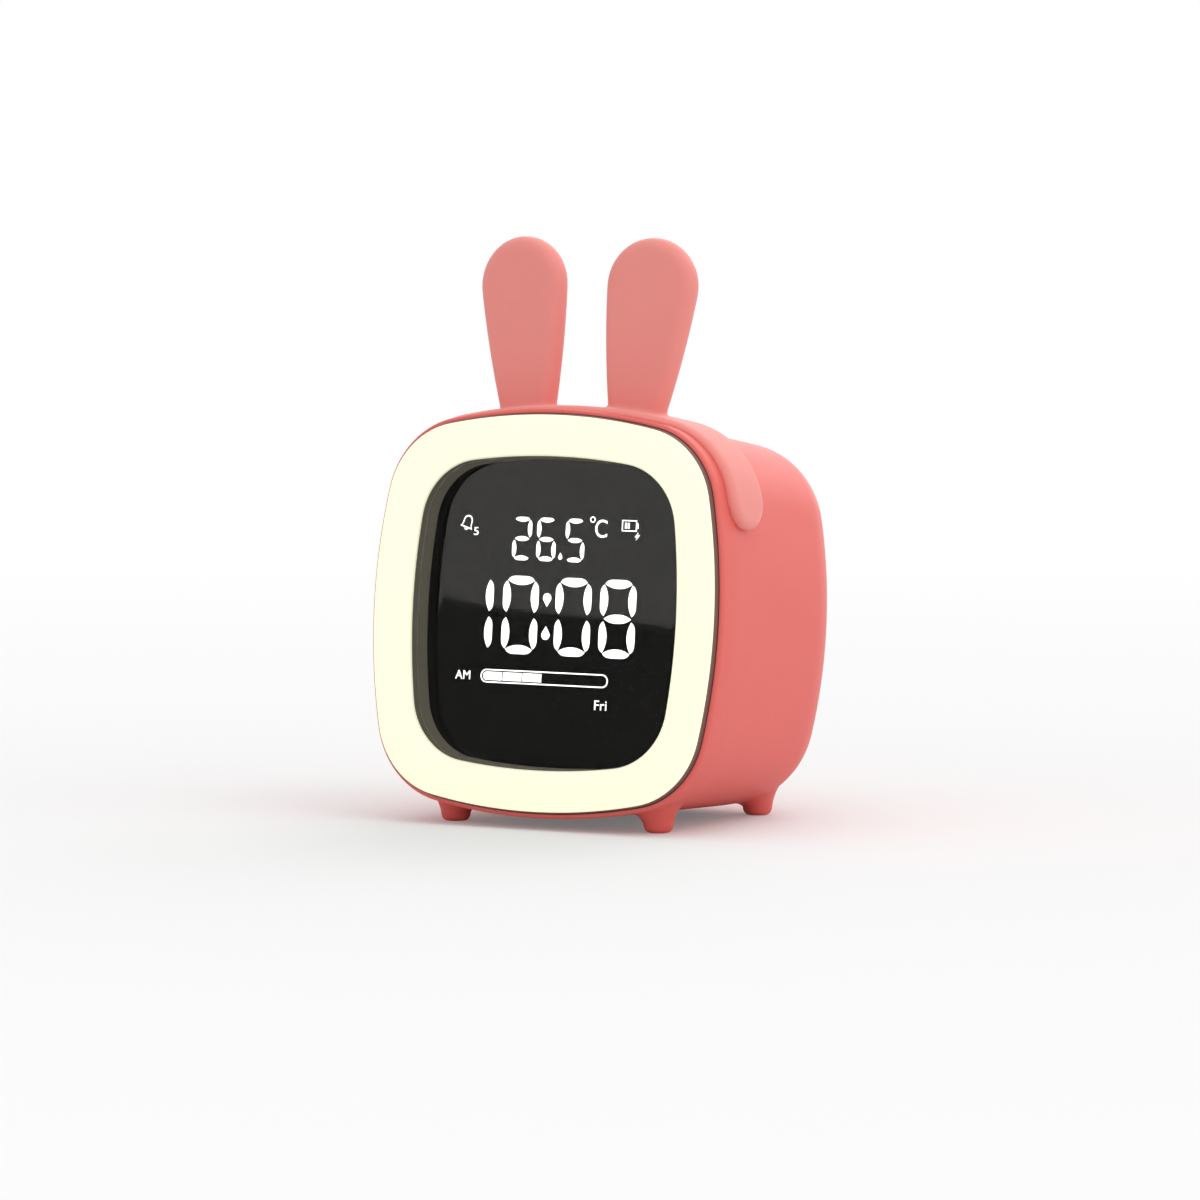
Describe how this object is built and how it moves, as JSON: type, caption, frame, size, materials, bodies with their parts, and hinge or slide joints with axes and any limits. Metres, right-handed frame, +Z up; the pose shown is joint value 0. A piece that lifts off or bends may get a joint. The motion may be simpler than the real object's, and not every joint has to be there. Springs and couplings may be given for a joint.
{
  "type": "bedside alarm clock",
  "caption": "Cushion-shaped bedside alarm clock with two upright ears on a headband, a glowing ring round a smoked display, stub feet, rear push keys and a charging socket.",
  "frame": {"origin": "middle of the footprint of the whole clock, on the table plane under the feet", "axes": "+Z up, +X to the right seen from the front, +Y from the dial towards the back"},
  "size_m": [0.0794, 0.067, 0.1148],
  "materials": {
    "coral_plastic": "fine matte moulding",
    "milky_ring": "milky, lit from inside",
    "white_plastic": "satin",
    "black_plastic": "matte",
    "display_black": "polished",
    "smoked_window": "polished",
    "pink_silicone": "soft matte",
    "button_silicone": "soft matte",
    "stem_white": "satin",
    "lamp_white": "clear resin",
    "board_white": "solder mask",
    "board_green": "solder mask",
    "steel": "nickel plated",
    "socket_metal": "stamped",
    "speaker_metal": "black coating",
    "cell_foil": "pouch foil",
    "copper_foil": "foil",
    "grey_foam": "closed-cell foam",
    "black_cloth": "fine mesh",
    "wire_red": "insulated wire",
    "ribbon_white": "flat cable"
  },
  "bodies": {
    "clock": {"main_shell": "coral_plastic", "rear_cover": "coral_plastic", "cover_screws": "steel", "light_ring": "milky_ring", "light_trough": "white_plastic", "ring_leds": "lamp_white", "front_board": "board_white", "board_screws": "steel", "frame_screws": "steel", "display_window": "smoked_window", "display_frame": "black_plastic", "display_glass": "display_black", "backlight_guide": "white_plastic", "backlight_foam": "grey_foam", "battery_tray": "white_plastic", "battery_pad": "grey_foam", "battery_cell": "cell_foil", "lead_headers": "white_plastic", "battery_leads": "wire_red", "switch_bodies": "black_plastic", "main_board": "board_green", "main_board_screws": "steel", "board_chips": "black_plastic", "charging_socket": "socket_metal", "socket_tongue": "black_plastic", "speaker_basket": "speaker_metal", "speaker_cone": "black_plastic", "speaker_gasket": "grey_foam", "grille_mesh": "black_cloth", "speaker_leads": "wire_red", "ribbon_cable": "ribbon_white", "ear_headband": "pink_silicone", "headband_screws": "steel", "touch_pad": "copper_foil"},
    "set_key": {"set_button": "button_silicone", "set_switch_stem": "stem_white"},
    "down_key": {"down_button": "button_silicone", "down_switch_stem": "stem_white"},
    "up_key": {"up_button": "button_silicone", "up_switch_stem": "stem_white"},
    "lamp_key": {"lamp_button": "button_silicone", "lamp_switch_stem": "stem_white"}
  },
  "joints": [
    {"name": "set_press", "type": "slide", "parent": "clock", "child": "set_key", "axis": [0, -0.9956, 0.0941], "range_m": [0, 0.0005], "stiffness_N_per_m": 400, "springref_m": -0.0002},
    {"name": "down_press", "type": "slide", "parent": "clock", "child": "down_key", "axis": [0, -0.9956, 0.0941], "range_m": [0, 0.0005], "stiffness_N_per_m": 400, "springref_m": -0.0002},
    {"name": "up_press", "type": "slide", "parent": "clock", "child": "up_key", "axis": [0, -0.9956, 0.0941], "range_m": [0, 0.0005], "stiffness_N_per_m": 400, "springref_m": -0.0002},
    {"name": "lamp_press", "type": "slide", "parent": "clock", "child": "lamp_key", "axis": [0, -0.9956, 0.0941], "range_m": [0, 0.0005], "stiffness_N_per_m": 400, "springref_m": -0.0002}
  ]
}
